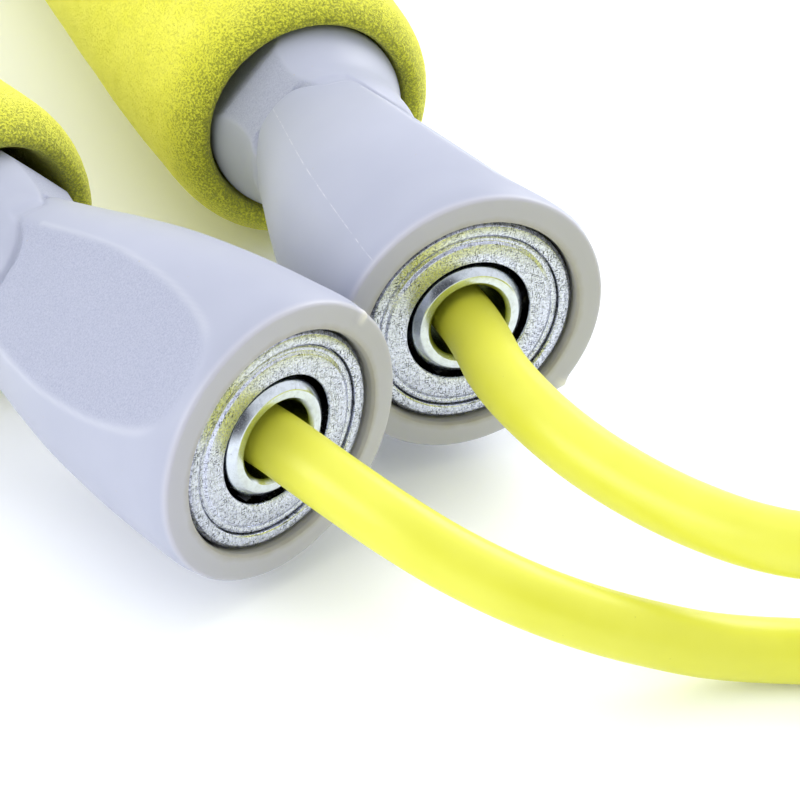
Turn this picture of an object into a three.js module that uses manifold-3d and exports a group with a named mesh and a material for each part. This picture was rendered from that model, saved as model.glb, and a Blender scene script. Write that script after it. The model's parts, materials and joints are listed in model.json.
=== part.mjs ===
// A speed jump rope: two moulded handles with foam grips lie side by side on a flat surface.
// Each handle spins on a deep-groove ball bearing, and the cord passes through the bearing's
// bore to a crimped stop. The spare cord is wound in a round coil held by a strap.
// Millimetres, +Z up, handles' mouths towards -Y, the surface at Z = 0.
import * as THREE from 'three';
import { mergeVertices } from 'three/addons/utils/BufferGeometryUtils.js';
import Module from 'manifold-3d';

const wasm = await Module();
wasm.setup();

// Clearance kept between neighbouring solids.
const GAP = 0.3;

// Layout of the pair of handles.
const TOE_ANGLE = 10.94;
const BEARING_SPACING = 26.52;
const BEARING_STAGGER = 7.66;
const BEARING_MIDPOINT_Y = -75.32;
const PARTING_ANGLE = { left: 46, right: -41 };

// Ball bearing: 22 mm outside, 8 mm bore, 7 mm wide.
const BEARING_RADIUS = 11;
const BEARING_HALF_WIDTH = 3.5;
const BORE_RADIUS = 4;
const BALL_COUNT = 7;
const BALL_RADIUS = 1.98;
const PITCH_RADIUS = 7.5;
const RACE_RADIUS = 2.25;
const SHIELD_HOLE_RADIUS = 6.5;
const SHIELD_RADIUS = 9.45;
const SHIELD_THICKNESS = 0.35;
const BEARING_RECESS = 0.7;
const BEARING_CENTRE = BEARING_RECESS + BEARING_HALF_WIDTH;
const BEARING_BACK = BEARING_RECESS + 2 * BEARING_HALF_WIDTH;

// Handle, measured along its axis from the mouth.
const NOSE_END = 38.6;
const FOAM_START = 43.4;
const CORE_END = 149.4;
const FOAM_RADIUS = 16.5;
const TUBE_RADIUS = 10.9;
const AXIS_HEIGHT = FOAM_RADIUS;
const FLAT_START = 2.5;
const FLAT_START_RADIUS = 14.25;
const FLAT_SLOPE = 10;
const COLLAR_FLAT_START = 38;
const COLLAR_FLAT_DISTANCE = 8.05;
const COLLAR_FLAT_SLOPE = 16;

// Cord and coil.
const CORD_DIAMETER = 6;
const CORD_RADIUS = CORD_DIAMETER / 2;
const TURN_SPACING = 6.1;
const COIL_COLUMNS = 3;
const COIL_LAYERS = 4;
const COIL_RADIUS = 33.5;
const COIL_CENTRE = [74.5, BEARING_MIDPOINT_Y - 78];
const COIL_BOTTOM = 0.9;
const TIE_ANGLE = -60;
const TIE_WIDTH = 12;
const TIE_THICKNESS = 0.6;
const TIE_CLEARANCE = 0.4;
const TIE_INNER_CLEARANCE = 1.1;

const plastic = { color: 0xc3c8dc, roughness: 0.45, metalness: 0 };
const foam = { color: 0xe2e23c, roughness: 0.95, metalness: 0 };
const steel = { color: 0xb9bdc1, roughness: 0.35, metalness: 0.9 };
const polishedSteel = { color: 0xd8dadd, roughness: 0.15, metalness: 1 };
const brass = { color: 0xb59a4a, roughness: 0.35, metalness: 1 };
const cordPlastic = { color: 0xeaf03a, roughness: 0.35, metalness: 0 };
const strapFabric = { color: 0x8d93a8, roughness: 0.95, metalness: 0 };

const radians = THREE.MathUtils.degToRad;

function named(name, geometry, finish) {
  const mesh = new THREE.Mesh(geometry, new THREE.MeshStandardMaterial(finish));
  mesh.name = name;
  return mesh;
}

// A body of revolution about the Y axis. The profile's points are [radius, position].
function turned(profile, sides) {
  const points = profile.map(([radius, position]) => new THREE.Vector2(radius, position));
  return new THREE.LatheGeometry(points, sides);
}

// A ring or tube: the profile closes on itself.
function turnedRing(profile, sides) {
  return turned([...profile, profile[0]], sides);
}

function shifted(profile, distance) {
  return profile.map(([radius, position]) => [radius, position + distance]);
}

function mirrored(profile) {
  return profile.map(([radius, position]) => [radius, -position]).reverse();
}

function toManifold(geometry) {
  const bare = geometry.clone();
  bare.deleteAttribute('normal');
  bare.deleteAttribute('uv');
  const merged = mergeVertices(bare, 1e-4);
  const mesh = new wasm.Mesh({
    numProp: 3,
    vertProperties: new Float32Array(merged.attributes.position.array),
    triVerts: new Uint32Array(merged.index.array),
  });
  mesh.merge();
  return new wasm.Manifold(mesh);
}

function toGeometry(manifold) {
  const mesh = manifold.getMesh();
  const geometry = new THREE.BufferGeometry();
  geometry.setAttribute('position', new THREE.BufferAttribute(mesh.vertProperties, 3));
  geometry.setIndex(new THREE.BufferAttribute(mesh.triVerts, 1));
  geometry.computeVertexNormals();
  return geometry;
}

// Moulded core: a nose with two thumb flats, a waist collar with two chord flats and a tube.
const CORE_SIDES = 30;
const NOSE_PROFILE = [
  [0, 0], [13.3, 0], [13.8, 0.3], [14.15, 0.9], [14.3, 2], [14.15, 6], [13.85, 11],
  [13.35, 16], [12.65, 21], [11.5, 26.5], [10.4, 31], [9.45, 35], [8.75, 38],
  [8.3, NOSE_END], [0, NOSE_END],
];
const COLLAR_PROFILE = [
  [0, 20], [8, 20], [8.1, 33], [8.7, 37.5], [9.3, 39.6], [10.2, 42], [TUBE_RADIUS, 44.2],
  [TUBE_RADIUS, CORE_END], [0, CORE_END],
];
const CAVITY_PROFILE = [
  [0, -1], [11.55, -1], [11.55, 0], [11.25, 0.35], [11.25, BEARING_BACK + GAP],
  [9.3, BEARING_BACK + GAP], [9.3, 12], [6.2, 16], [6.2, 60], [8.4, 64],
  [8.4, CORE_END + 1], [0, CORE_END + 1],
];

// A block whose inner face is a plane at the given distance from the axis where it starts,
// leaning by the given slope. side is +1 or -1 along Z.
function flatCutter(start, distance, slope, side) {
  const depth = 20;
  const block = new THREE.BoxGeometry(60, 120, depth);
  block.translate(0, 0, depth / 2);
  block.rotateX(radians(slope));
  block.translate(0, start, distance);
  if (side < 0) {
    block.rotateY(Math.PI);
  }
  return toManifold(block);
}

function coreGeometry() {
  let nose = toManifold(turned(NOSE_PROFILE, CORE_SIDES));
  let collar = toManifold(turned(COLLAR_PROFILE, CORE_SIDES));
  for (const side of [1, -1]) {
    nose = nose.subtract(flatCutter(FLAT_START, FLAT_START_RADIUS, -FLAT_SLOPE, side));
    const cutter = flatCutter(COLLAR_FLAT_START, COLLAR_FLAT_DISTANCE, COLLAR_FLAT_SLOPE, side);
    collar = collar.subtract(cutter.rotate([0, 90, 0]));
  }
  const cavity = toManifold(turned(CAVITY_PROFILE, CORE_SIDES));
  return toGeometry(nose.add(collar).subtract(cavity));
}

function foamGeometry() {
  const hole = TUBE_RADIUS + GAP;
  return turnedRing([
    [hole, 46], [11.5, 44.2], [12.3, FOAM_START], [13.2, 43.8], [14.8, 46], [15.6, 49.5],
    [16.1, 57], [FOAM_RADIUS, 66], [FOAM_RADIUS, 144.5], [15.6, 147.9], [14, CORE_END - 0.1],
    [hole, CORE_END - 0.1],
  ], 28);
}

function endCapGeometry() {
  return turned([
    [0, 141], [8.1, 141], [8.1, CORE_END + GAP], [13.4, CORE_END + GAP], [14.4, 150.5],
    [14.6, 152], [14, 154], [12.4, 155], [0, 155],
  ], 28);
}

// Bearing sections, about the middle of the bearing's width.
function grooveArc(sign, positions) {
  return positions.map((y) => [PITCH_RADIUS + sign * Math.sqrt(RACE_RADIUS ** 2 - y ** 2), y]);
}

function outerRingGeometry() {
  const seat = SHIELD_RADIUS + GAP;
  return turnedRing(shifted([
    [10.7, -3.5], [BEARING_RADIUS, -3.2], [BEARING_RADIUS, 3.2], [10.7, 3.5], [seat, 3.5],
    [seat, 2.55], [9.1, 2.55], ...grooveArc(1, [1.58, 0.8, -0.8, -1.58]), [9.1, -2.55],
    [seat, -2.55], [seat, -3.5],
  ], BEARING_CENTRE), 28);
}

function innerRingGeometry() {
  return turnedRing(shifted([
    [4.55, -3.5], [5.9, -3.5], [6, -3.4], ...grooveArc(-1, [-1.67, -0.8, 0.8, 1.67]),
    [6, 3.4], [5.9, 3.5], [4.55, 3.5], [BORE_RADIUS, 2.95], [BORE_RADIUS, -2.95],
  ], BEARING_CENTRE), 24);
}

// The front shield; its outer edge is stepped back from its face.
const SHIELD_PROFILE = [
  [SHIELD_HOLE_RADIUS, -3.25], [8.9, -3.25], [SHIELD_RADIUS, -3.1],
  [SHIELD_RADIUS, -3.1 + SHIELD_THICKNESS], [SHIELD_HOLE_RADIUS, -3.25 + SHIELD_THICKNESS],
];

function cageGeometry() {
  const ring = turnedRing(shifted([
    [6.9, -0.9], [8.1, -0.9], [8.1, 2.55], [6.9, 2.55],
  ], BEARING_CENTRE), 28);
  let cage = toManifold(ring);
  for (let i = 0; i < BALL_COUNT; i += 1) {
    const pocket = new THREE.SphereGeometry(BALL_RADIUS + 0.25, 10, 7);
    pocket.translate(...ballCentre(i));
    cage = cage.subtract(toManifold(pocket));
  }
  return toGeometry(cage);
}

function ballCentre(index) {
  const angle = (2 * Math.PI * index) / BALL_COUNT;
  return [PITCH_RADIUS * Math.cos(angle), BEARING_CENTRE, PITCH_RADIUS * Math.sin(angle)];
}

function washerGeometry() {
  const front = BEARING_BACK + GAP;
  const bore = CORD_RADIUS + GAP;
  return turnedRing([[bore, front], [5.6, front], [5.6, front + 1], [bore, front + 1]], 20);
}

// The crimped stop that holds the cord's end behind the washer.
function cordStopGeometry() {
  const front = BEARING_BACK + 2 * GAP + 1;
  return turned([
    [0, front], [4, front], [4.6, front + 0.6], [4.6, front + 7.4], [3.8, front + 8],
    [0, front + 8],
  ], 16);
}

// One handle with all that turns on it or sits in it. Its axis is the local Y axis, with the
// mouth at Y = 0.
function makeHandle(side, sign) {
  const handle = new THREE.Group();
  const core = named(`handle_core_${side}`, coreGeometry(), plastic);
  core.rotation.y = -radians(PARTING_ANGLE[side]);
  handle.add(core);
  handle.add(named(`foam_grip_${side}`, foamGeometry(), foam));
  handle.add(named(`end_cap_${side}`, endCapGeometry(), plastic));
  handle.add(named(`bearing_outer_ring_${side}`, outerRingGeometry(), steel));
  handle.add(named(`bearing_inner_ring_${side}`, innerRingGeometry(), polishedSteel));
  const frontShield = turnedRing(shifted(SHIELD_PROFILE, BEARING_CENTRE), 28);
  const rearShield = turnedRing(shifted(mirrored(SHIELD_PROFILE), BEARING_CENTRE), 28);
  handle.add(named(`front_shield_${side}`, frontShield, steel));
  handle.add(named(`rear_shield_${side}`, rearShield, steel));
  handle.add(named(`ball_cage_${side}`, cageGeometry(), steel));
  for (let i = 0; i < BALL_COUNT; i += 1) {
    const ball = named(`ball_${i + 1}_${side}`, new THREE.SphereGeometry(BALL_RADIUS, 8, 6), steel);
    ball.position.set(...ballCentre(i));
    handle.add(ball);
  }
  handle.add(named(`washer_${side}`, washerGeometry(), steel));
  handle.add(named(`cord_stop_${side}`, cordStopGeometry(), brass));
  // The middle of the bearing's front face lies at the stated spacing and stagger.
  const toe = sign * radians(TOE_ANGLE);
  handle.rotation.z = -toe;
  handle.position.set(
    sign * (BEARING_SPACING / 2) - BEARING_RECESS * Math.sin(toe),
    BEARING_MIDPOINT_Y + sign * (BEARING_STAGGER / 2) - BEARING_RECESS * Math.cos(toe),
    AXIS_HEIGHT,
  );
  return handle;
}

// Routes of the cord's two runs, from each stop to the coil, measured from the point on the
// surface midway between the two bearings.
const LEFT_ROUTE = [
  [-14.85, 4.4, 16.2], [-14.0, 0.0, 16.2], [-13.26, -3.83, 16.2], [-12.75, -6.6, 16.05],
  [-12.1, -9.5, 15.75], [-11.15, -12.65, 15.2], [-9.4, -17.0, 14.1], [-6.7, -21.5, 12.4],
  [-3.55, -25.3, 10.7], [-0.2, -28.45, 9.1], [3.4, -31.15, 7.6], [7.35, -33.5, 6.1],
  [11.5, -35.7, 4.7], [15.9, -37.65, 3.6], [20.9, -40.4, 3.1], [26.3, -44.4, 3.05],
  [30.5, -49.6, 3.05], [33.3, -55.2, 3.1],
];
const RIGHT_ROUTE = [
  [14.85, 12.05, 16.3], [14.0, 7.65, 16.3], [13.26, 3.83, 16.3], [12.3, 0.3, 16.25],
  [11.2, -3.0, 16.2], [10.5, -6.5, 16.1], [10.2, -11.3, 15.8], [10.45, -15.8, 15.4],
  [11.3, -20.2, 14.9], [12.85, -25.3, 14.4], [14.85, -30.2, 14.1], [17.4, -34.85, 14.0],
  [20.6, -38.85, 14.2], [25.3, -42.5, 15.1], [31.5, -45.6, 16.7], [39.0, -47.3, 18.8],
];

function cordRunGeometry(route) {
  const points = route.map(([x, y, z]) => new THREE.Vector3(x, y + BEARING_MIDPOINT_Y, z));
  const path = new THREE.CatmullRomCurve3(points, false, 'centripetal');
  const section = new THREE.Shape();
  const sides = 10;
  for (let i = 0; i < sides; i += 1) {
    const angle = (2 * Math.PI * (i + 0.5)) / sides;
    const corner = [CORD_RADIUS * Math.cos(angle), CORD_RADIUS * Math.sin(angle)];
    if (i === 0) {
      section.moveTo(...corner);
    } else {
      section.lineTo(...corner);
    }
  }
  section.closePath();
  const steps = Math.ceil(path.getLength() / (1.7 * CORD_DIAMETER));
  return new THREE.ExtrudeGeometry(section, { steps, extrudePath: path, curveSegments: 1 });
}

const coilInner = COIL_RADIUS - (COIL_COLUMNS - 1) * TURN_SPACING / 2 - CORD_RADIUS;
const coilOuter = COIL_RADIUS + (COIL_COLUMNS - 1) * TURN_SPACING / 2 + CORD_RADIUS;
const coilTop = COIL_BOTTOM + (COIL_LAYERS - 1) * TURN_SPACING + CORD_DIAMETER;

function coilGeometry() {
  const corner = 1.6;
  const ring = turnedRing([
    [coilInner + corner, COIL_BOTTOM], [coilOuter - corner, COIL_BOTTOM],
    [coilOuter, COIL_BOTTOM + corner], [coilOuter, coilTop - corner],
    [coilOuter - corner, coilTop], [coilInner + corner, coilTop],
    [coilInner, coilTop - corner], [coilInner, COIL_BOTTOM + corner],
  ], 48);
  ring.rotateX(Math.PI / 2);
  return ring;
}

// A strap closed around the coil's section.
function tieGeometry() {
  const inside = coilInner - TIE_INNER_CLEARANCE;
  const outside = coilOuter + TIE_CLEARANCE;
  const bottom = TIE_THICKNESS;
  const top = coilTop + TIE_CLEARANCE;
  const outline = new THREE.Shape([
    new THREE.Vector2(inside - TIE_THICKNESS, 0),
    new THREE.Vector2(outside + TIE_THICKNESS, 0),
    new THREE.Vector2(outside + TIE_THICKNESS, top + TIE_THICKNESS),
    new THREE.Vector2(inside - TIE_THICKNESS, top + TIE_THICKNESS),
  ]);
  outline.holes.push(new THREE.Path([
    new THREE.Vector2(inside, bottom),
    new THREE.Vector2(inside, top),
    new THREE.Vector2(outside, top),
    new THREE.Vector2(outside, bottom),
  ]));
  const strap = new THREE.ExtrudeGeometry(outline, { depth: TIE_WIDTH, bevelEnabled: false });
  strap.translate(0, 0, -TIE_WIDTH / 2);
  strap.rotateX(Math.PI / 2);
  strap.rotateZ(radians(TIE_ANGLE));
  return strap;
}

function makeRope() {
  const rope = new THREE.Group();
  rope.add(named('cord_run_left', cordRunGeometry(LEFT_ROUTE), cordPlastic));
  rope.add(named('cord_run_right', cordRunGeometry(RIGHT_ROUTE), cordPlastic));
  const coil = named('cord_coil', coilGeometry(), cordPlastic);
  const tie = named('coil_tie', tieGeometry(), strapFabric);
  for (const piece of [coil, tie]) {
    piece.position.set(...COIL_CENTRE, 0);
    rope.add(piece);
  }
  return rope;
}

const group = new THREE.Group();
group.add(makeHandle('left', -1));
group.add(makeHandle('right', 1));
group.add(makeRope());

export default group;
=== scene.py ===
import json
import math

import bmesh
import bpy
import numpy as np
from mathutils import Matrix, Vector, noise


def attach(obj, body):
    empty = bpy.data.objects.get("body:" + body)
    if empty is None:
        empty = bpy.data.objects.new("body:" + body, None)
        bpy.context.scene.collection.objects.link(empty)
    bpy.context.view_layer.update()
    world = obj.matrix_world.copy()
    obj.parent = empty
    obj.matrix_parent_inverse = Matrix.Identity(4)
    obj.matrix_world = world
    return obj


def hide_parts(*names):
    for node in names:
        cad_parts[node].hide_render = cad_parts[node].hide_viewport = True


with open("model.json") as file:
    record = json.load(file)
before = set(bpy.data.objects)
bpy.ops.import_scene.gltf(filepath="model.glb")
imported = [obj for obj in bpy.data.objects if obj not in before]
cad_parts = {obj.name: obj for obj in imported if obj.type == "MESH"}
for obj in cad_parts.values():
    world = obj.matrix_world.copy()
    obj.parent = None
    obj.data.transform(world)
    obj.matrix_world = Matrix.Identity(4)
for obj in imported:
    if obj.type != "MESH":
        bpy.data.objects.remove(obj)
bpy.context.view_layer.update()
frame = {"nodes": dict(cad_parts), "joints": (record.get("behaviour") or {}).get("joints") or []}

MM = 0.001
SIDES = ("left", "right")

# Layout, in millimetres, as in the CAD model.
BEARING_MIDPOINT_Y = -75.32
BEARING_CENTRE = 4.2
PARTING_ANGLE = {"left": 46, "right": -41}
CORD_RADIUS = 3.0
CORD_STEP = 1.6
TURN_SPACING = 6.1
COIL_COLUMNS = 3
COIL_LAYERS = 4
COIL_RADIUS = 33.5
COIL_CENTRE = (74.5, -78.0)
COIL_BOTTOM = 0.9
# The left run joins the coil at one angle and the right run leaves it at the other, in degrees.
# A turn passes to the next column or layer over the shift's arc.
JOIN_ANGLE = 180
LEAVE_ANGLE = 120
SHIFT_ARC = 110
COIL_STEP = 15

# The strap round the coil, in millimetres and degrees.
STRAP_WIDTH = 12.0
STRAP_THICKNESS = 0.6
STRAP_INNER_GAP = 1.1
STRAP_OUTER_GAP = 0.4
STRAP_LOWER_CORNER = 2.2
STRAP_UPPER_CORNER = 2.6
STRAP_ANGLE = -60

# The camera, in millimetres and degrees: it looks down at the two mouths from the front left.
CAMERA_PLACE = (-118.0, BEARING_MIDPOINT_Y - 171.0, 155.8)
CAMERA_AIM = (0.4764, 0.6754, -0.5629)
CAMERA_ROLL = 2.6
CAMERA_LENS = 119.5
CAMERA_SENSOR = 36

# The cord's runs from each bearing, from the floor point midway between the two bearings.
LEFT_ROUTE = [
    (-14.85, 4.4, 16.2), (-14.0, 0.0, 16.2), (-13.26, -3.83, 16.2), (-12.75, -6.6, 16.05),
    (-12.1, -9.5, 15.75), (-11.15, -12.65, 15.2), (-9.4, -17.0, 14.1), (-6.7, -21.5, 12.4),
    (-3.55, -25.3, 10.7), (-0.2, -28.45, 9.1), (3.4, -31.15, 7.6), (7.35, -33.5, 6.1),
    (11.5, -35.7, 4.7), (15.9, -37.65, 3.6), (20.9, -40.4, 3.1), (26.3, -44.4, 3.05),
    (30.5, -49.6, 3.05), (33.3, -55.2, 3.1),
]
LINK_TO_COIL = [(35.1, -62.0, 3.3), (35.2, -70.0, 3.7)]
LINK_FROM_COIL = [(46.2, -46.9, 20.8)]
RIGHT_ROUTE = [
    (14.85, 12.05, 16.3), (14.0, 7.65, 16.3), (13.26, 3.83, 16.3), (12.3, 0.3, 16.25),
    (11.2, -3.0, 16.2), (10.5, -6.5, 16.1), (10.2, -11.3, 15.8), (10.45, -15.8, 15.4),
    (11.3, -20.2, 14.9), (12.85, -25.3, 14.4), (14.85, -30.2, 14.1), (17.4, -34.85, 14.0),
    (20.6, -38.85, 14.2), (25.3, -42.5, 15.1), (31.5, -45.6, 16.7), (39.0, -47.3, 18.8),
]


# ---------------------------------------------------------------- camera

def make_camera():
    position = Vector(CAMERA_PLACE) * MM
    forward = Vector(CAMERA_AIM).normalized()
    roll = math.radians(CAMERA_ROLL)
    level = forward.cross(Vector((0, 0, 1))).normalized()
    upright = level.cross(forward)
    right = level * math.cos(roll) + upright * math.sin(roll)
    up = right.cross(forward)
    data = bpy.data.cameras.new("camera")
    data.sensor_width = CAMERA_SENSOR
    data.lens = CAMERA_LENS
    data.clip_start = 0.01
    data.clip_end = 20
    camera = bpy.data.objects.new("camera", data)
    turn = Matrix((right, up, -forward)).transposed().to_4x4()
    camera.matrix_world = Matrix.Translation(position) @ turn
    bpy.context.scene.collection.objects.link(camera)
    bpy.context.scene.camera = camera


# ---------------------------------------------------------------- mesh helpers

def smooth_line(points, step):
    """Points about a step apart on the centripetal Catmull-Rom curve through the given ones."""
    p = np.array(points, float)
    p = np.vstack([2 * p[0] - p[1], p, 2 * p[-1] - p[-2]])
    found = []
    for a, b, c, d in zip(p, p[1:], p[2:], p[3:]):
        ta = 0.0
        tb = ta + np.linalg.norm(b - a) ** 0.5
        tc = tb + np.linalg.norm(c - b) ** 0.5
        td = tc + np.linalg.norm(d - c) ** 0.5
        count = max(1, math.ceil(np.linalg.norm(c - b) / step))
        t = np.linspace(tb, tc, count, endpoint=False)[:, None]
        ab = ((tb - t) * a + (t - ta) * b) / (tb - ta)
        bc = ((tc - t) * b + (t - tb) * c) / (tc - tb)
        cd = ((td - t) * c + (t - tc) * d) / (td - tc)
        abc = ((tc - t) * ab + (t - ta) * bc) / (tc - ta)
        bcd = ((td - t) * bc + (t - tb) * cd) / (td - tb)
        found.append(((tc - t) * abc + (t - tb) * bcd) / (tc - tb))
    found.append(p[-2:-1])
    return np.vstack(found)


def filleted(points, closed=False, step=15):
    """An outline of (radius, position, fillet) corners with each corner's fillet as an arc."""
    count = len(points)
    found = []
    for i, (r, s, size) in enumerate(points):
        here = Vector((r, s))
        if size == 0 or (not closed and i in (0, count - 1)):
            found.append((r, s))
            continue
        before = (Vector(points[i - 1][:2]) - here).normalized()
        after = (Vector(points[(i + 1) % count][:2]) - here).normalized()
        half = before.angle(after) / 2
        reach = size / math.tan(half)
        centre = here + (before + after).normalized() * (size / math.sin(half))
        start = here + before * reach - centre
        end = here + after * reach - centre
        turn = start.angle_signed(end)
        pieces = max(2, math.ceil(abs(math.degrees(turn)) / step))
        for k in range(pieces + 1):
            arm = start.copy()
            arm.rotate(Matrix.Rotation(-turn * k / pieces, 2))
            found.append(tuple(centre + arm))
    return found


def new_object(name, vertices, faces, matrix, sharp=40):
    """A mesh object from millimetre points in the matrix's frame, faces turned outwards."""
    mesh = bpy.data.meshes.new(name)
    mesh.from_pydata((np.asarray(vertices) * MM).tolist(), [], faces)
    work = bmesh.new()
    work.from_mesh(mesh)
    bmesh.ops.recalc_face_normals(work, faces=work.faces)
    work.to_mesh(mesh)
    work.free()
    mesh.shade_smooth()
    mesh.set_sharp_from_angle(angle=math.radians(sharp))
    piece = bpy.data.objects.new(name, mesh)
    piece.matrix_world = matrix
    bpy.context.scene.collection.objects.link(piece)
    return piece


def loft_faces(rings, around, closed):
    """Quads between neighbouring rings, and fans over the first and last if it isn't closed."""
    faces = []
    for i in range(rings if closed else rings - 1):
        a = i * around
        b = ((i + 1) % rings) * around
        for j in range(around):
            k = (j + 1) % around
            faces.append((a + j, a + k, b + k, b + j))
    if not closed:
        faces.append(tuple(range(around)))
        faces.append(tuple(range((rings - 1) * around, rings * around)))
    return faces


def turned(name, profile, around, matrix, closed=True):
    """A body of revolution about the local Y axis, from (radius, position) points."""
    angle = np.linspace(0, 2 * math.pi, around, endpoint=False)
    profile = np.array(profile, float)
    rings = np.stack([
        profile[:, :1] * np.sin(angle),
        np.repeat(profile[:, 1:], around, axis=1),
        profile[:, :1] * np.cos(angle),
    ], axis=2)
    return new_object(name, rings.reshape(-1, 3), loft_faces(len(profile), around, closed), matrix)


def set_attribute(piece, name, values):
    layer = piece.data.attributes.new(name, "FLOAT", "POINT")
    layer.data.foreach_set("value", np.asarray(values, np.float32))


def handle_matrix(side):
    """The handle's frame: Y along its axis from the mouth, Z up."""
    joint = next(j for j in frame["joints"] if j["name"] == f"{side}_handle_spin")
    axis = Vector(joint["axis"]).normalized()
    up = Vector((0, 0, 1))
    mouth = Vector(joint["pos_m"]) - axis * BEARING_CENTRE * MM
    turn = Matrix((axis.cross(up), axis, up)).transposed().to_4x4()
    return Matrix.Translation(mouth) @ turn


# ---------------------------------------------------------------- shader helpers

def node(tree, kind, inputs=None, **settings):
    made = tree.nodes.new("ShaderNode" + kind)
    for key, value in settings.items():
        setattr(made, key, value)
    for key, value in (inputs or {}).items():
        if isinstance(value, bpy.types.NodeSocket):
            tree.links.new(value, made.inputs[key])
        else:
            made.inputs[key].default_value = value
    return made


def math_node(tree, operation, a, b=0):
    return node(tree, "Math", {0: a, 1: b}, operation=operation).outputs[0]


def product(tree, a, b):
    return math_node(tree, "MULTIPLY", a, b)


def along_axes(tree, vector, axes):
    """The vector's dot product with another: how far it goes along those axes."""
    return node(tree, "VectorMath", {0: vector, 1: axes}, operation="DOT_PRODUCT").outputs["Value"]


def millimetres(tree, stretch=(1, 1, 1)):
    """The piece's own coordinates in millimetres, optionally stretched."""
    place = node(tree, "TexCoord").outputs["Object"]
    scale = tuple(1000 * k for k in stretch)
    return node(tree, "VectorMath", {0: place, 1: scale}, operation="MULTIPLY").outputs[0]


def noise_node(tree, vector, scale, detail=2.0, roughness=0.5):
    inputs = {"Vector": vector, "Scale": scale, "Detail": detail, "Roughness": roughness}
    return node(tree, "TexNoise", inputs).outputs["Fac"]


def ramp(tree, factor, stops):
    """A colour ramp through (position, colour) stops; a number stands for a grey."""
    made = node(tree, "ValToRGB", {"Fac": factor})
    elements = made.color_ramp.elements
    while len(elements) < len(stops):
        elements.new(0.5)
    for element, (position, colour) in zip(elements, stops):
        element.position = position
        element.color = (colour,) * 3 + (1,) if isinstance(colour, (int, float)) else (*colour, 1)
    return made.outputs["Color"]


def mix(tree, factor, a, b, blend="MIX"):
    made = node(tree, "Mix", data_type="RGBA", blend_type=blend)
    for socket, value in ((made.inputs[0], factor), (made.inputs[6], a), (made.inputs[7], b)):
        if isinstance(value, bpy.types.NodeSocket):
            tree.links.new(value, socket)
        else:
            socket.default_value = value if isinstance(value, (int, float)) else (*value, 1)
    return made.outputs[2]


def bump(tree, height, strength, distance, normal=None):
    inputs = {"Height": height, "Strength": strength, "Distance": distance * MM}
    if normal is not None:
        inputs["Normal"] = normal
    return node(tree, "Bump", inputs).outputs["Normal"]


def attribute(tree, name):
    return node(tree, "Attribute", attribute_name=name).outputs["Fac"]


def new_material(name, **sockets):
    """A material whose principled shader has the given constants on its sockets."""
    material = bpy.data.materials.new(name)
    material.use_nodes = True
    shader = material.node_tree.nodes["Principled BSDF"]
    for key, value in sockets.items():
        shader.inputs[key.replace("_", " ")].default_value = value
    return material, material.node_tree, shader


def link(tree, shader, **outputs):
    for key, value in outputs.items():
        tree.links.new(value, shader.inputs[key.replace("_", " ")])


# ---------------------------------------------------------------- materials

# Colours are linear. A pair is a surface's darker and lighter patches.
LAVENDER = ((0.355, 0.375, 0.47), (0.38, 0.4, 0.495))
LAVENDER_GRAIN = ((0.275, 0.3, 0.4), (0.405, 0.42, 0.52))
# A painted highlight for the plastic's edges.
EDGE_HIGHLIGHT = (0.56, 0.58, 0.63)
# Painted shade on the mouth's face.
RIM_FACE_SHADE = (0.47, 0.47, 0.53)
# Painted shade, with some dirt, towards the bearing's seat.
SEAT_SHADE_AND_DIRT = (0.3, 0.27, 0.2)
PARTING_FLASH = (0.66, 0.665, 0.69)
BROKEN_NUB = (0.8, 0.78, 0.74)
BROWN_SPECK = (0.4, 0.36, 0.3)
FOAM_YELLOW = ((0.76, 0.745, 0.055), (0.82, 0.8, 0.085))
# The cut end's yellow, darkened partly as painted shade.
FOAM_CUT_AND_SHADE_YELLOW = (0.58, 0.6, 0.03)
FOAM_HOLLOW = (0.17, 0.195, 0.006)
ZINC = ((0.27, 0.29, 0.37), (0.54, 0.57, 0.72), (0.72, 0.75, 0.92))
# Dark marks on the metal, also used for painted shade and dark reflection.
DARK_MARKS_AND_SHADE = (0.035, 0.04, 0.045)
STEEL = (0.64, 0.69, 0.76)
OILED_STEEL = (0.05, 0.05, 0.055)
BRASS = (0.75, 0.55, 0.22)
STEEL_NICK = (0.12, 0.12, 0.12)
# A painted reflection of the cord, in painted shade, inside the bore.
BORE_REFLECTION_AND_SHADE = (0.2, 0.23, 0.03)
CORD_YELLOW = ((0.69, 0.69, 0.055), (0.73, 0.73, 0.075))
CORD_SPECK = (0.35, 0.36, 0.05)
WEBBING = ((0.1, 0.11, 0.15), (0.29, 0.31, 0.4))
FLOOR_WHITE = ((0.92, 0.935, 0.96), (0.93, 0.945, 0.97))
FLOOR_GLOW = (0.95, 0.975, 1.0, 1)

# Distances from the handle's axis, and a woven thread's pitch, in millimetres.
SEAT_SHADE_AND_DIRT_RADIUS = 11.7
SHIELD_CRIMP_RADIUS = 9.35
RING_CORNER_RADIUS = 10.2
BORE_REFLECTION_START = 3.5
THREAD_PITCH = 0.8


def axis_distance(tree):
    """How far a point is from the handle's axis, in millimetres."""
    flattened = millimetres(tree, (1, 0, 1))
    return node(tree, "VectorMath", {0: flattened}, operation="LENGTH").outputs["Value"]


def spots(tree, place, scale):
    """Small round specks, one in each cell of a Voronoi pattern."""
    distance = node(tree, "TexVoronoi", {"Vector": place, "Scale": scale}).outputs["Distance"]
    return ramp(tree, distance, [(0.02, 1.0), (0.035, 0.0)])


def scratches(tree, stretch):
    """Short straight marks that run along the axis that is stretched least."""
    field = noise_node(tree, millimetres(tree, stretch), 1.0, 2, 0.6)
    return ramp(tree, field, [(0.38, 1.0), (0.41, 0.0)])


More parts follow.
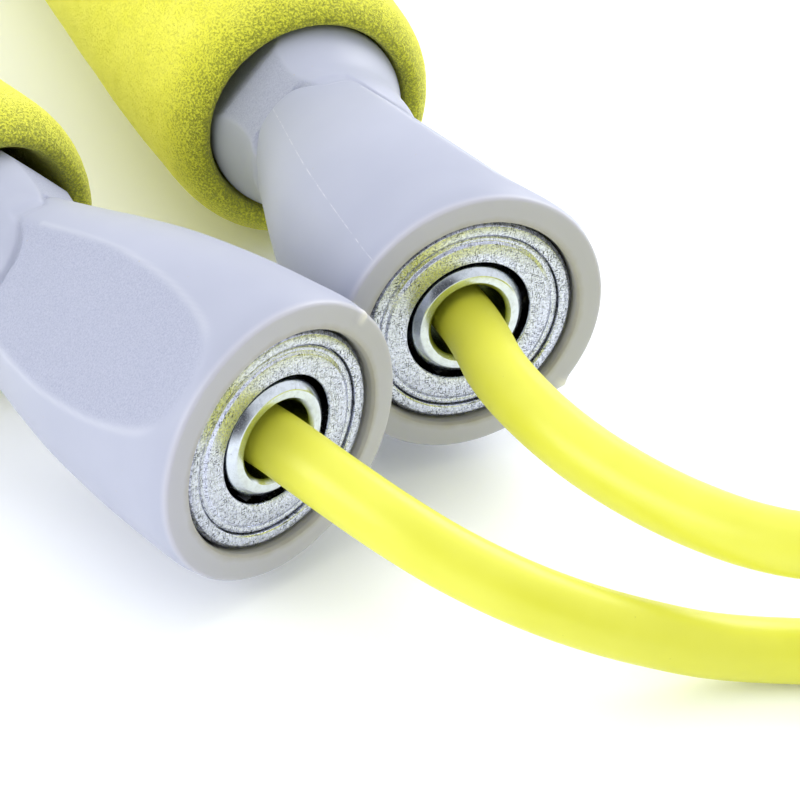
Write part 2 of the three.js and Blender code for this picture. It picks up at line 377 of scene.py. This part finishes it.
def plastic_material():
    """Lavender-grey translucent moulded plastic, textured where the attribute says so."""
    material, tree, shader = new_material(
        "handle_plastic", Subsurface_Weight=0.3, Subsurface_Scale=0.0014, IOR=1.46)
    shader.inputs["Subsurface Radius"].default_value = (1.0, 0.95, 1.1)
    place = millimetres(tree)
    textured = attribute(tree, "texture")
    cloud = noise_node(tree, place, 0.09, 3)
    colour = ramp(tree, cloud, [(0.3, LAVENDER[0]), (0.7, LAVENDER[1])])
    grain = noise_node(tree, place, 5.5, 3, 0.75)
    sparkle = ramp(tree, grain, [(0.34, LAVENDER_GRAIN[0]), (0.68, LAVENDER_GRAIN[1])])
    colour = mix(tree, product(tree, textured, 0.8), colour, sparkle)
    # A painted highlight, pale, along the thumb flat's border and round the rim's outer corner.
    colour = mix(tree, product(tree, attribute(tree, "edge"), 0.28), colour, EDGE_HIGHLIGHT)
    # The mouth's face is tinted grey as painted shade, since it faces away from the overhead light.
    face = attribute(tree, "face")
    colour = mix(tree, face, colour, RIM_FACE_SHADE)
    # Painted shade, with some brownish dirt, darkens the face towards the bearing's recessed seat.
    ragged = math_node(tree, "ADD", axis_distance(tree), noise_node(tree, place, 0.35, 4, 0.6))
    seat_reach = math_node(tree, "SUBTRACT", ragged, SEAT_SHADE_AND_DIRT_RADIUS)
    seat = ramp(tree, seat_reach, [(0.0, 0.7), (0.9, 0.0)])
    colour = mix(tree, product(tree, seat, face), colour, SEAT_SHADE_AND_DIRT)
    # The mould's parting line: a hair of pale flash, broken in places.
    across = math_node(tree, "ABSOLUTE", attribute(tree, "parting"))
    line = ramp(tree, across, [(0.03, 1.0), (0.08, 0.0)])
    broken = ramp(tree, noise_node(tree, place, 0.9, 4, 0.75), [(0.42, 0.0), (0.6, 0.5)])
    line = product(tree, product(tree, line, broken), attribute(tree, "nose"))
    colour = mix(tree, line, colour, PARTING_FLASH)
    colour = mix(tree, attribute(tree, "nub"), colour, BROKEN_NUB)
    colour = mix(tree, product(tree, spots(tree, place, 0.33), 0.6), colour, BROWN_SPECK)
    rough = math_node(tree, "ADD", product(tree, textured, 0.2), 0.45)
    skin = noise_node(tree, place, 1.1, 4, 0.6)
    normal = bump(tree, skin, 0.1, 0.04)
    normal = bump(tree, product(tree, grain, textured), 0.6, 0.09, normal)
    normal = bump(tree, line, 0.5, 0.05, normal)
    link(tree, shader, Base_Color=colour, Roughness=rough, Normal=normal)
    return material


def foam_material():
    """Lemon-yellow foam with a fine open grain, darker and denser on its cut ends, where painted shade
    darkens it further.
    """
    material, tree, shader = new_material(
        "grip_foam", Subsurface_Weight=0.15, Subsurface_Scale=0.001, Sheen_Weight=0.1, Roughness=0.95)
    shader.inputs["Subsurface Radius"].default_value = (1.0, 0.95, 0.3)
    place = millimetres(tree)
    cut = attribute(tree, "cut")
    grain = noise_node(tree, place, 4.2, 4, 0.75)
    broad = noise_node(tree, place, 0.35, 3)
    colour = ramp(tree, broad, [(0.3, FOAM_YELLOW[0]), (0.7, FOAM_YELLOW[1])])
    # Open cells: small hollows, faint on the skin, and dark and many on the cut end.
    hollow = ramp(tree, grain, [(0.34, 1.0), (0.47, 0.0)])
    # On the cut end the extra dark hollows and the darker yellow are partly the cut foam's own look
    # and partly painted shade of the front end.
    opened_and_shaded = math_node(tree, "SUBTRACT", grain, product(tree, cut, 0.09))
    deep = ramp(tree, opened_and_shaded, [(0.36, 1.0), (0.5, 0.0)])
    amount = product(tree, mix(tree, cut, product(tree, hollow, 0.12), deep), 0.7)
    colour = mix(tree, product(tree, cut, 0.6), colour, FOAM_CUT_AND_SHADE_YELLOW)
    colour = mix(tree, amount, colour, FOAM_HOLLOW)
    height = mix(tree, 0.5, grain, math_node(tree, "SUBTRACT", 1.0, hollow))
    normal = bump(tree, height, 0.8, 0.2)
    link(tree, shader, Base_Color=colour, Normal=normal)
    return material


def zinc_material():
    """Stamped zinc-coated steel: pale, speckled, crosshatched with wear, with painted shade in its
    crimp and painted shade and dark reflection along its outer corner.
    """
    material, tree, shader = new_material("shield_steel", Metallic=0.85, IOR=1.8)
    place = millimetres(tree)
    grain = noise_node(tree, place, 5.0, 4, 0.75)
    colour = ramp(tree, grain, [(0.34, ZINC[0]), (0.46, ZINC[1]), (0.6, ZINC[2])])
    crosshatch = math_node(
        tree, "MAXIMUM", scratches(tree, (8, 1, 2)), scratches(tree, (1.8, 1, 8.5)))
    worn = ramp(tree, noise_node(tree, place, 0.5, 3), [(0.38, 0.3), (0.55, 0.9)])
    specks = ramp(tree, noise_node(tree, place, 2.8, 3, 0.7), [(0.32, 1.0), (0.37, 0.0)])
    marks = math_node(tree, "MAXIMUM", product(tree, crosshatch, worn), specks)
    # Painted shade in the crimped edge of the shield, and painted shade and dark reflection along the
    # ring's outer corner, broken into patches.
    reach = axis_distance(tree)
    crimp = math_node(tree, "ABSOLUTE", math_node(tree, "SUBTRACT", reach, SHIELD_CRIMP_RADIUS))
    crimp = ramp(tree, crimp, [(0.04, 0.8), (0.16, 0.0)])
    corner = math_node(tree, "SUBTRACT", reach, RING_CORNER_RADIUS)
    corner = ramp(tree, corner, [(0.0, 0.0), (0.7, 0.85)])
    dots = ramp(tree, noise_node(tree, place, 2.6, 3, 0.7), [(0.4, 1.0), (0.55, 0.25)])
    crimp_and_corner_shade = product(tree, math_node(tree, "MAXIMUM", crimp, corner), dots)
    dark = math_node(tree, "MAXIMUM", product(tree, marks, 0.92), crimp_and_corner_shade)
    colour = mix(tree, dark, colour, DARK_MARKS_AND_SHADE)
    rough = ramp(tree, grain, [(0.35, 0.34), (0.6, 0.19)])
    normal = bump(tree, grain, 0.3, 0.03)
    normal = bump(tree, marks, -0.5, 0.03, normal)
    link(tree, shader, Base_Color=colour, Roughness=rough, Normal=normal)
    return material


def polished_material(name, tint):
    """Ground and polished metal with fine marks, and a painted dark yellow-green reflection of the
    cord, with painted shade, inside its bore.
    """
    material, tree, shader = new_material(name, Metallic=1.0)
    place = millimetres(tree)
    marks = noise_node(tree, place, 7.0, 4, 0.7)
    dirt = noise_node(tree, place, 1.3, 4, 0.6)
    darker = tuple(0.86 * k for k in tint)
    colour = ramp(tree, dirt, [(0.35, darker), (0.55, tint)])
    nicks = ramp(tree, noise_node(tree, place, 3.0, 3, 0.7), [(0.28, 0.8), (0.34, 0.0)])
    colour = mix(tree, nicks, colour, STEEL_NICK)
    # A painted reflection of the yellow cord, darkened as painted shade, inside the bore.
    reach = math_node(tree, "SUBTRACT", axis_distance(tree), BORE_REFLECTION_START)
    bore = ramp(tree, reach, [(0.55, 0.85), (0.8, 0.0)])
    colour = mix(tree, bore, colour, BORE_REFLECTION_AND_SHADE)
    rough = ramp(tree, marks, [(0.3, 0.3), (0.7, 0.13)])
    normal = bump(tree, marks, 0.06, 0.01)
    link(tree, shader, Base_Color=colour, Roughness=rough, Normal=normal)
    return material


def cord_material():
    """Satin lemon-yellow PVC, a little translucent."""
    material, tree, shader = new_material(
        "cord_plastic", Subsurface_Weight=0.25, Subsurface_Scale=0.002, IOR=1.52)
    shader.inputs["Subsurface Radius"].default_value = (1.0, 1.0, 0.3)
    place = millimetres(tree)
    cloud = noise_node(tree, place, 0.12, 3)
    colour = ramp(tree, cloud, [(0.3, CORD_YELLOW[0]), (0.7, CORD_YELLOW[1])])
    colour = mix(tree, product(tree, spots(tree, place, 0.4), 0.3), colour, CORD_SPECK)
    fine = noise_node(tree, place, 3.0, 3, 0.6)
    rough = ramp(tree, fine, [(0.3, 0.46), (0.7, 0.36)])
    normal = bump(tree, fine, 0.06, 0.03)
    link(tree, shader, Base_Color=colour, Roughness=rough, Normal=normal)
    return material


def strap_material():
    """Woven webbing, with threads along the strap and across it."""
    material, tree, shader = new_material("strap_fabric", Roughness=0.92, Sheen_Weight=0.3)
    place = millimetres(tree)
    # The strap runs along its own X and Z, round the coil, and its width is along Y.
    turn_rate = 2 * math.pi / THREAD_PITCH
    warp = math_node(tree, "SINE", product(tree, along_axes(tree, place, (1, 0, 1)), turn_rate))
    weft = math_node(tree, "SINE", product(tree, along_axes(tree, place, (0, 1, 0)), turn_rate))
    weave = math_node(tree, "ABSOLUTE", product(tree, warp, weft))
    fuzz = noise_node(tree, place, 2.5, 4, 0.7)
    colour = ramp(tree, weave, [(0.0, WEBBING[0]), (0.6, WEBBING[1])])
    colour = mix(tree, 0.25, colour, ramp(tree, fuzz, [(0.3, 0.1), (0.7, 0.45)]))
    normal = bump(tree, weave, 0.8, 0.2)
    normal = bump(tree, fuzz, 0.4, 0.1, normal)
    link(tree, shader, Base_Color=colour, Normal=normal)
    return material


def floor_material():
    """Plain pale floor, glowing a little so that it reads as white as the tent round it."""
    material, tree, shader = new_material(
        "floor", Roughness=0.55, Specular_IOR_Level=0.25, Emission_Color=FLOOR_GLOW,
        Emission_Strength=0.08)
    tone = noise_node(tree, millimetres(tree), 0.01, 2)
    colour = ramp(tree, tone, [(0.3, FLOOR_WHITE[0]), (0.7, FLOOR_WHITE[1])])
    link(tree, shader, Base_Color=colour)
    return material


# ---------------------------------------------------------------- cord

def smooth_step(t):
    t = min(max(t, 0.0), 1.0)
    return t * t * (3 - 2 * t)


def coil_points():
    """The turns of the coil: out to in on the lowest layer, in to out on the next, and so on."""
    slots = []
    for layer in range(COIL_LAYERS):
        columns = range(COIL_COLUMNS) if layer % 2 == 0 else reversed(range(COIL_COLUMNS))
        slots += [(column, layer) for column in columns]
    outermost = COIL_RADIUS + (COIL_COLUMNS - 1) / 2 * TURN_SPACING
    swept = 360 * (len(slots) - 1) + (LEAVE_ANGLE - JOIN_ANGLE) % 360
    points = []
    for turned_by in range(0, swept + 1, COIL_STEP):
        slot = turned_by // 360
        column, layer = slots[slot]
        following = slots[min(slot + 1, len(slots) - 1)]
        share = smooth_step((turned_by % 360 - (360 - SHIFT_ARC)) / SHIFT_ARC)
        column += (following[0] - column) * share
        layer += (following[1] - layer) * share
        radius = outermost - column * TURN_SPACING
        angle = math.radians(JOIN_ANGLE + turned_by)
        points.append((
            COIL_CENTRE[0] + radius * math.cos(angle),
            COIL_CENTRE[1] + radius * math.sin(angle),
            COIL_BOTTOM + CORD_RADIUS + layer * TURN_SPACING,
        ))
    return points


def make_cord(material):
    """The one cord: out of the left bearing, round the coil and into the right bearing."""
    route = LEFT_ROUTE + LINK_TO_COIL + coil_points() + LINK_FROM_COIL + RIGHT_ROUTE[::-1]
    line = smooth_line(route, CORD_STEP)
    line[:, 1] += BEARING_MIDPOINT_Y
    line *= MM
    data = bpy.data.curves.new("cord", "CURVE")
    data.dimensions = "3D"
    data.bevel_depth = CORD_RADIUS * MM
    data.bevel_resolution = 8
    data.use_fill_caps = True
    spline = data.splines.new("POLY")
    spline.points.add(len(line) - 1)
    spline.points.foreach_set("co", np.hstack([line, np.ones((len(line), 1))]).ravel())
    spline.use_smooth = True
    cord = bpy.data.objects.new("cord", data)
    bpy.context.scene.collection.objects.link(cord)
    cord.data.materials.append(material)
    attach(cord, "rope")
    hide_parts("cord_run_left", "cord_coil", "cord_run_right")
    return cord


def make_tie(material):
    """A webbing strap closed around the coil."""
    spread = (COIL_COLUMNS - 1) / 2 * TURN_SPACING + CORD_RADIUS
    coil_top = COIL_BOTTOM + (COIL_LAYERS - 1) * TURN_SPACING + 2 * CORD_RADIUS
    half = STRAP_THICKNESS / 2
    inner = COIL_RADIUS - spread - STRAP_INNER_GAP - half
    outer = COIL_RADIUS + spread + STRAP_OUTER_GAP + half
    top = coil_top + STRAP_OUTER_GAP + half
    loop = filleted([
        (inner, half, STRAP_LOWER_CORNER), (outer, half, STRAP_LOWER_CORNER),
        (outer, top, STRAP_UPPER_CORNER), (inner, top, STRAP_UPPER_CORNER),
    ], closed=True)
    edge = STRAP_WIDTH / 2
    rounded_edge = edge - 0.2
    rounded_half = half - 0.15
    section = [
        (-edge, -rounded_half), (-rounded_edge, -half), (rounded_edge, -half), (edge, -rounded_half),
        (edge, rounded_half), (rounded_edge, half), (-rounded_edge, half), (-edge, rounded_half),
    ]
    points = np.array(loop)
    ahead = np.roll(points, -1, axis=0) - np.roll(points, 1, axis=0)
    ahead /= np.linalg.norm(ahead, axis=1)[:, None]
    out = np.stack([ahead[:, 1], -ahead[:, 0]], axis=1)
    vertices = []
    for centre, away in zip(points, out):
        for across, depth in section:
            spot = centre + away * depth
            vertices.append((spot[0], across, spot[1]))
    turn = Matrix.Rotation(math.radians(STRAP_ANGLE), 4, "Z")
    middle = Vector((COIL_CENTRE[0], BEARING_MIDPOINT_Y + COIL_CENTRE[1], 0)) * MM
    faces = loft_faces(len(points), len(section), True)
    tie = new_object("coil_tie_strap", vertices, faces, Matrix.Translation(middle) @ turn)
    tie.data.materials.append(material)
    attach(tie, "rope")
    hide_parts("coil_tie")
    return tie


# ---------------------------------------------------------------- handles

# Outlines and profiles are in millimetres: the distance from the handle's axis, then the
# distance behind the mouth. A third number, where there is one, is the corner's fillet.
NOSE_OUTLINE = [
    (14.15, 0.9), (14.3, 2), (14.15, 6), (13.85, 11), (13.35, 16), (12.65, 21), (11.5, 26.5),
    (10.4, 31), (9.45, 35), (8.85, 37.6),
]
COLLAR_OUTLINE = [
    (7.0, 20), (7.7, 29), (8.45, 32), (8.95, 33.4), (9.2, 35), (9.2, 37), (9.3, 39), (9.8, 41),
    (10.5, 43), (11.0, 44.4), (11.1, 45.2), (10.9, 47), (10.9, 50),
]
THUMB_FLAT = [
    (14.35, 1.2), (14.0, 2), (13.3, 4.5), (12.3, 10), (11.0, 18), (9.4, 27.5), (8.3, 33.5),
    (7.2, 40),
]
THUMB_FLAT_START = 1.2
THUMB_CROWN = 90
SIDE_FLAT_START = 38
SIDE_FLAT_END = 43.6
SIDE_FLAT_DISTANCE = 8.05
SIDE_FLAT_SLOPE = math.radians(16)
SIDE_CROWN = 400
NOSE_ROUNDS_OFF = 37.6
NOSE_END = 38.6
CORE_START = 0.9
CORE_END = 149.4
CORE_AROUND = 256
# The rounded rim, the bearing's seat, the space behind it and the tube's rear end.
CORE_INSIDE = [
    (14.15, 0.95, 0), (14.05, 0.1, 0.45), (12.7, 0.06, 0.5), (11.5, 0.0, 0.12),
    (11.3, 0.35, 0.2), (11.25, 8.0, 0.2), (9.3, 8.0, 0.2), (9.3, 12, 0.5),
    (6.2, 16, 0.5), (6.2, 60, 0.5), (8.4, 64, 0.5), (8.4, CORE_END, 0.2), (10.9, CORE_END, 0.3),
    (10.9, 149.0, 0),
]
# The gate's broken nub on the rim, at (across, behind, up) with how far it stands out.
NUB_PLACE = (13.55, 0.25, 0.0)
NUB_REACH = (0.22, -0.42, 0.0)
NUB_SIZE = 0.55
RIM_CORNER = (14.05, 0.2)

FOAM_HOLE = 11.2
FOAM_RADIUS = 16.45
FOAM_AROUND = 256
FOAM_FRONT = [
    (FOAM_HOLE, 46.5), (11.35, 45), (11.5, 44.2), (12.0, 43.55), (12.7, 43.45), (13.5, 44.05),
    (14.4, 45.3), (15.1, 46.8), (15.5, 48.5), (15.75, 51), (15.95, 55), (16.2, 61),
    (FOAM_RADIUS, 70),
]
FOAM_REAR = [
    (FOAM_RADIUS, 144.5), (16.2, 147), (15.4, 148.7), (14, 149.3), (12.4, 149.2),
    (FOAM_HOLE, 148.4),
]
FOAM_SEED = {"left": (7.3, 0, 0), "right": (0, 0, 3.1)}

CAP_PROFILE = [
    (0.01, 141, 0), (8.1, 141, 0.4), (8.1, 149.7, 0.1), (13.6, 149.7, 0.4), (14.6, 151.2, 0.8),
    (14.2, 154, 0.9), (12.5, 155, 0.6), (9.2, 155, 0.25), (8.8, 154.7, 0.25), (0.01, 154.7, 0),
]


def radius_at(outline, positions):
    line = smooth_line(outline, 0.25)
    return np.interp(positions, line[:, 1], line[:, 0])


def soft_least(a, b, width):
    """The smaller of two distances, blended where they are within a width of each other."""
    h = np.clip(0.5 + 0.5 * (b - a) / width, 0, 1)
    return b + (a - b) * h - width * h * (1 - h)


def chord(distance, cosine, sine, crown):
    """How far out along a direction a slightly crowned flat lies; crown is its radius."""
    cosine = np.maximum(np.abs(cosine), 1e-3)
    distance = np.maximum(distance, 0.1)
    bulge = 2 * sine ** 2 / crown
    return 2 * distance / (cosine + np.sqrt(cosine ** 2 + bulge * distance))


def core_rings():
    """Radii of the core's outside at each position and angle, with its surface masks."""
    # The rings lie closest round the waist, where the nose meets the collar.
    positions = np.unique(np.concatenate([
        np.arange(CORE_START, 32.5, 0.42), np.arange(32.5, 46, 0.16), np.arange(46, 50, 0.8),
        [50.5, 60, 80, 110, 140, 148.9]]).round(3))
    angle = np.linspace(0, 2 * math.pi, CORE_AROUND, endpoint=False)
    s = positions[:, None]
    sine, cosine = np.sin(angle), np.cos(angle)
    # The nose, with the two thumb flats cut into it.
    nose = radius_at(NOSE_OUTLINE, s)
    thumb = chord(radius_at(THUMB_FLAT, s), cosine, sine, THUMB_CROWN)
    cut_in = nose - thumb
    on_thumb = np.clip(cut_in / 0.35, 0, 1) * (s > THUMB_FLAT_START)
    border = np.exp(-(cut_in / 0.16) ** 2) * np.clip((s - 2.5) / 2, 0, 1) * (s < 32)
    nose = np.where(s > THUMB_FLAT_START, soft_least(nose, thumb, 0.25), nose)
    # It rounds off at its rear and then drops away under the collar.
    fall = np.clip((s - NOSE_ROUNDS_OFF) / (NOSE_END - NOSE_ROUNDS_OFF), 0, 1)
    nose = nose - 0.55 * fall ** 2 - 30 * np.clip((s - 38.4) / 0.9, 0, 1)
    # The collar, with the two sloping side flats cut into it.
    sloped = np.minimum(s, SIDE_FLAT_END) - SIDE_FLAT_START
    distance = SIDE_FLAT_DISTANCE + sloped * math.tan(SIDE_FLAT_SLOPE)
    side = chord(distance, sine, cosine, SIDE_CROWN)
    collar = radius_at(COLLAR_OUTLINE, s)
    on_side = np.clip((collar - side) / 0.2, 0, 1)
    collar = soft_least(collar, side, 0.05)
    # Whichever stands further out is the surface, with a fine crease where they meet.
    crease = -0.3 * np.exp(-((nose - collar) / 0.2) ** 2)
    radii = -soft_least(-nose, -collar, 0.06) + np.where(s > 20, crease, 0)
    textured = np.where(nose > collar, on_thumb, on_side)
    return positions, angle, radii, textured, (nose > collar).astype(float), border


def make_core(side, material):
    """The moulded core, from its rear end forwards over the outside and back through the bore."""
    positions, angle, radii, textured, on_nose, border = core_rings()
    positions, radii = positions[::-1], radii[::-1]
    outside = np.stack([radii, np.repeat(positions[:, None], CORE_AROUND, axis=1)], axis=2)
    inside = np.array(filleted(CORE_INSIDE)[1:-1])
    inside = np.repeat(inside[:, None, :], CORE_AROUND, axis=1)
    rings = np.concatenate([outside, inside])
    points = np.stack([
        rings[:, :, 0] * np.sin(angle), rings[:, :, 1], rings[:, :, 0] * np.cos(angle)], axis=2)
    points = points.reshape(-1, 3)
    near_nub = np.exp(-(np.linalg.norm(points - np.array(NUB_PLACE), axis=1) / NUB_SIZE) ** 2)
    points += near_nub[:, None] * np.array(NUB_REACH)
    # The moulding's parting plane is rolled about the handle's axis.
    roll = np.array(Matrix.Rotation(-math.radians(PARTING_ANGLE[side]), 3, "Y"))
    faces = loft_faces(len(rings), CORE_AROUND, True)
    core = new_object(f"core_{side}", points @ roll.T, faces, handle_matrix(side))
    pad = np.zeros((len(inside), CORE_AROUND))
    # The edge mask places the painted highlight along the thumb flat's border and round the rim's
    # rounded outer corner.
    rim_corner = np.hypot(rings[:, :, 0] - RIM_CORNER[0], rings[:, :, 1] - RIM_CORNER[1])
    edge = np.concatenate([border[::-1], pad]) + np.exp(-(rim_corner / 0.22) ** 2)
    masks = {
        "parting": points[:, 2],
        "texture": np.concatenate([textured[::-1], pad]),
        "nose": np.concatenate([on_nose[::-1], pad]),
        "nub": near_nub,
        "edge": np.clip(edge, 0, 1),
        "face": np.clip((0.75 - rings[:, :, 1]) / 0.6, 0, 1),
    }
    for name, values in masks.items():
        set_attribute(core, name, values.ravel())
    core.data.materials.append(material)
    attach(core, f"handle_{side}")
    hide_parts(f"handle_core_{side}")
    return core


def make_foam(side, material):
    """The foam sleeve, with a fine uneven surface."""
    front = smooth_line(FOAM_FRONT, 0.4)
    body = [(FOAM_RADIUS, s) for s in np.arange(71.5, 144, 1.5)]
    rear = smooth_line(FOAM_REAR, 0.5)
    inside = [(FOAM_HOLE, s) for s in (140, 120, 100, 80, 60, 50)]
    profile = np.vstack([front, body, rear, inside])
    foam = turned(f"foam_{side}", profile, FOAM_AROUND, handle_matrix(side))
    coordinates = np.zeros(len(foam.data.vertices) * 3)
    foam.data.vertices.foreach_get("co", coordinates)
    coordinates = coordinates.reshape(-1, 3) / MM
    radius = np.hypot(coordinates[:, 0], coordinates[:, 2])
    along = coordinates[:, 1]
    seed = Vector(FOAM_SEED[side])
    rough = np.array([noise.noise((Vector(c) + seed) * 1.7) for c in coordinates])
    soft = np.array([noise.noise((Vector(c) + seed) * 0.12) for c in coordinates])
    # How cut the surface is: most on the front end, and some on the rear end.
    cut = np.clip((50 - along) / 6, 0, 1) ** 1.5 + np.clip((along - 145) / 4, 0, 1)
    shift = (0.05 * rough * (0.4 + cut) + 0.12 * soft) * (radius > FOAM_HOLE + 0.5)
    scale = 1 + shift / radius
    coordinates[:, 0] *= scale
    coordinates[:, 2] *= scale
    foam.data.vertices.foreach_set("co", (coordinates * MM).ravel())
    set_attribute(foam, "cut", np.clip(cut, 0, 1))
    foam.data.materials.append(material)
    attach(foam, f"handle_{side}")
    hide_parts(f"foam_grip_{side}")
    return foam


def make_cap(side, material):
    """The plug in the tube's rear end, with a shallow dish in its face."""
    cap = turned(f"cap_{side}", filleted(CAP_PROFILE), 128, handle_matrix(side), closed=False)
    for name in ("texture", "nose", "nub", "face", "parting", "edge"):
        set_attribute(cap, name, np.zeros(len(cap.data.vertices)))
    cap.data.materials.append(material)
    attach(cap, f"handle_{side}")
    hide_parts(f"end_cap_{side}")
    return cap


# ---------------------------------------------------------------- bearings

BALL_CIRCLE = 7.5
GROOVE_RADIUS = 2.25


def groove(sign, heights):
    """The ball groove's points outside (1) or inside (-1) the balls' circle."""
    depth = [math.sqrt(GROOVE_RADIUS ** 2 - y * y) for y in heights]
    return [(BALL_CIRCLE + sign * d, y, 0) for d, y in zip(depth, heights)]


# Profiles as above, but with each position measured from the bearing's middle plane.
OUTER_RING = [
    (9.62, -3.4, 0.08), (9.8, -3.5, 0.1), (10.65, -3.5, 0.2), (11, -3.2, 0.15), (11, 3.5, 0.35),
    (9.62, 3.5, 0.1), (9.62, 2.55, 0.05), (9.1, 2.55, 0.05),
    *groove(1, (1.6, 1.1, 0.5, -0.5, -1.1, -1.6)), (9.1, -2.55, 0.05), (9.62, -2.55, 0.05),
]
INNER_RING = [
    (4, -3.1, 0.1), (4.4, -3.5, 0.1), (5.2, -3.5, 0.3), (5.95, -2.8, 0.4), (5.95, -1.75, 0.1),
    *groove(-1, (-1.67, -1.1, -0.5, 0.5, 1.1, 1.67)), (5.95, 3.5, 0.3), (4, 3.5, 0.4),
]
SHIELD = [
    (6.5, -3.0, 0.08), (6.6, -3.28, 0.1), (7.5, -3.38, 1.5), (8.6, -3.34, 0.3),
    (8.95, -3.15, 0.2), (9.2, -3.22, 0.12), (9.45, -3.2, 0.08), (9.5, -3.05, 0.05),
    (9.5, -2.8, 0.1), (8.9, -2.8, 0.1), (8.6, -2.95, 0.1), (6.8, -2.95, 0.05),
]


def bearing_part(name, points, around, side):
    profile = filleted([(r, s + BEARING_CENTRE, size) for r, s, size in points], closed=True)
    return turned(f"{name}_{side}", profile, around, handle_matrix(side))


def make_bearing(side, zinc, polished):
    """The rings and the front shield, which show in the handle's mouth."""
    outer = bearing_part("outer_ring", OUTER_RING, 192, side)
    outer.data.materials.append(zinc)
    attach(outer, f"handle_{side}")
    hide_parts(f"bearing_outer_ring_{side}")
    inner = bearing_part("inner_ring", INNER_RING, 160, side)
    inner.data.materials.append(polished)
    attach(inner, "rope")
    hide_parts(f"bearing_inner_ring_{side}")
    shield = bearing_part("shield", SHIELD, 192, side)
    shield.data.materials.append(zinc)
    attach(shield, f"handle_{side}")
    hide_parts(f"front_shield_{side}")


# ---------------------------------------------------------------- surroundings

# Everything here is in metres, with the lamps' power in watts.
FLOOR_HALF = 4.0
FLOOR_DROP = 0.0001
TENT_STRENGTH = 1.13
TENT_OPENING = (-0.48, -0.75, 0.45)
LAMPS = [
    {"name": "overhead", "place": (0.0, 0.1, 0.6), "aim": (0, -0.08, 0), "size": 0.6, "power": 0.5},
    {"name": "left", "place": (-0.55, -0.05, 0.3), "aim": (-0.05, -0.1, 0), "size": 0.4, "power": 2.0},
    {"name": "right", "place": (0.5, 0.05, 0.3), "aim": (0, -0.08, 0), "size": 0.4, "power": 2.2},
]


def make_floor(material):
    mesh = bpy.data.meshes.new("floor")
    corners = [(x * FLOOR_HALF, y * FLOOR_HALF, 0) for x, y in ((-1, -1), (1, -1), (1, 1), (-1, 1))]
    mesh.from_pydata(corners, [], [(0, 1, 2, 3)])
    floor = bpy.data.objects.new("floor", mesh)
    floor.location.z = -FLOOR_DROP
    bpy.context.scene.collection.objects.link(floor)
    floor.data.materials.append(material)


def make_lamp(name, place, aim, size, power):
    data = bpy.data.lights.new(name, "AREA")
    data.shape = "DISK"
    data.size = size
    data.energy = power
    lamp = bpy.data.objects.new(name, data)
    lamp.location = place
    lamp.rotation_euler = (Vector(aim) - Vector(place)).to_track_quat("-Z", "Y").to_euler()
    bpy.context.scene.collection.objects.link(lamp)


def make_lights():
    """A white tent round the table, open to a dark room at the front, and three soft lamps."""
    world = bpy.data.worlds.new("studio")
    world.use_nodes = True
    tree = world.node_tree
    background = tree.nodes["Background"]
    background.inputs["Strength"].default_value = TENT_STRENGTH
    direction = node(tree, "TexCoord").outputs["Generated"]
    shade = ramp(tree, along_axes(tree, direction, TENT_OPENING), [
        (0.5, (0.97, 0.985, 1.0)), (0.86, (0.8, 0.82, 0.84)), (0.95, (0.08, 0.08, 0.09))])
    tree.links.new(shade, background.inputs["Color"])
    bpy.context.scene.world = world
    for lamp in LAMPS:
        make_lamp(**lamp)
    bpy.context.scene.view_settings.view_transform = "Standard"


make_camera()
plastic = plastic_material()
foam = foam_material()
zinc = zinc_material()
polished = polished_material("polished_steel", STEEL)

make_tie(strap_material())
make_cord(cord_material())
for side in SIDES:
    make_core(side, plastic)
    make_foam(side, foam)
    make_cap(side, plastic)
    make_bearing(side, zinc, polished)

# The pieces inside the bearing and behind it keep their CAD shapes, by how their names start.
oiled = polished_material("oiled_steel", OILED_STEEL)
brass = polished_material("crimp_brass", BRASS)
HIDDEN_FINISH = {"ball": oiled, "rear_shield": zinc, "washer": polished, "cord_stop": brass}
for name, piece in frame["nodes"].items():
    for start, finish in HIDDEN_FINISH.items():
        if name.startswith(start):
            piece.data.materials.clear()
            piece.data.materials.append(finish)
make_floor(floor_material())
make_lights()
